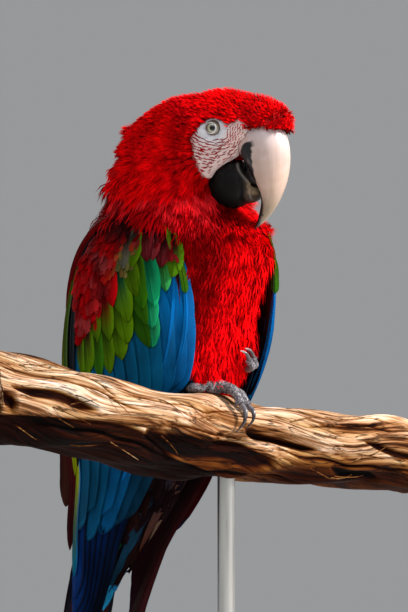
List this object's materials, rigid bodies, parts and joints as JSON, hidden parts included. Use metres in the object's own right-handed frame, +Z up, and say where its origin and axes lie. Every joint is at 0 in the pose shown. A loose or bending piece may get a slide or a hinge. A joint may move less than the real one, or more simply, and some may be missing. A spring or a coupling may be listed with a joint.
{
  "type": "macaw",
  "caption": "Life-size model of a red, green and blue macaw on one foot on a cut branch, held by a rod on a round base.",
  "frame": {"origin": "centre of the round base's underside, on the floor", "axes": "+Z up, -Y the way the bird's breast faces, +X the bird's left and along the branch"},
  "size_m": [0.54, 0.3343, 0.7517],
  "materials": {
    "red_feathers": "soft matte scarlet contour feathers",
    "undertail_feathers": "soft matte dark teal and maroon coverts",
    "wing_covert_feathers": "maroon, then olive green, then blue coverts with a slight sheen",
    "flight_feathers": "satin blue flight feathers, maroon below",
    "tail_feathers": "satin maroon-red tail feathers with blue tips",
    "pale_bill": "polished horn, ivory with tan growth lines",
    "dark_bill": "glossy black horn",
    "tongue": "black, softly glossy",
    "eye": "wet glossy, pale yellow iris and black pupil",
    "foot_skin": "dry scaly grey skin",
    "claw": "polished dark horn",
    "bark": "weathered fibrous branch, barkless",
    "stand_wood": "dark satin lacquered wood",
    "stand_metal": "satin steel"
  },
  "bodies": {
    "root": {"bill_lower": "dark_bill", "bill_upper": "pale_bill", "claw_left_2": "claw", "claw_left_3": "claw", "claw_right_1": "claw", "claw_right_2": "claw", "claw_right_3": "claw", "claw_right_4": "claw", "eye_left": "eye", "eye_right": "eye", "foot_left": "foot_skin", "foot_right": "foot_skin", "head": "red_feathers", "neck": "red_feathers", "perch": "bark", "shank_right": "foot_skin", "stand_base": "stand_wood", "stand_collar": "stand_metal", "stand_rod": "stand_metal", "tail_left_1": "tail_feathers", "tail_left_2": "tail_feathers", "tail_left_3": "tail_feathers", "tail_left_4": "tail_feathers", "tail_left_5": "tail_feathers", "tail_left_6": "tail_feathers", "tail_right_1": "tail_feathers", "tail_right_2": "tail_feathers", "tail_right_3": "tail_feathers", "tail_right_4": "tail_feathers", "tail_right_5": "tail_feathers", "tail_right_6": "tail_feathers", "thigh_left": "red_feathers", "thigh_right": "red_feathers", "tongue": "tongue", "trunk": "red_feathers", "undertail": "undertail_feathers", "wing_left_coverts": "wing_covert_feathers", "wing_left_primaries": "flight_feathers", "wing_left_secondaries": "flight_feathers", "wing_right_coverts": "wing_covert_feathers", "wing_right_primaries": "flight_feathers", "wing_right_secondaries": "flight_feathers"}
  },
  "joints": []
}
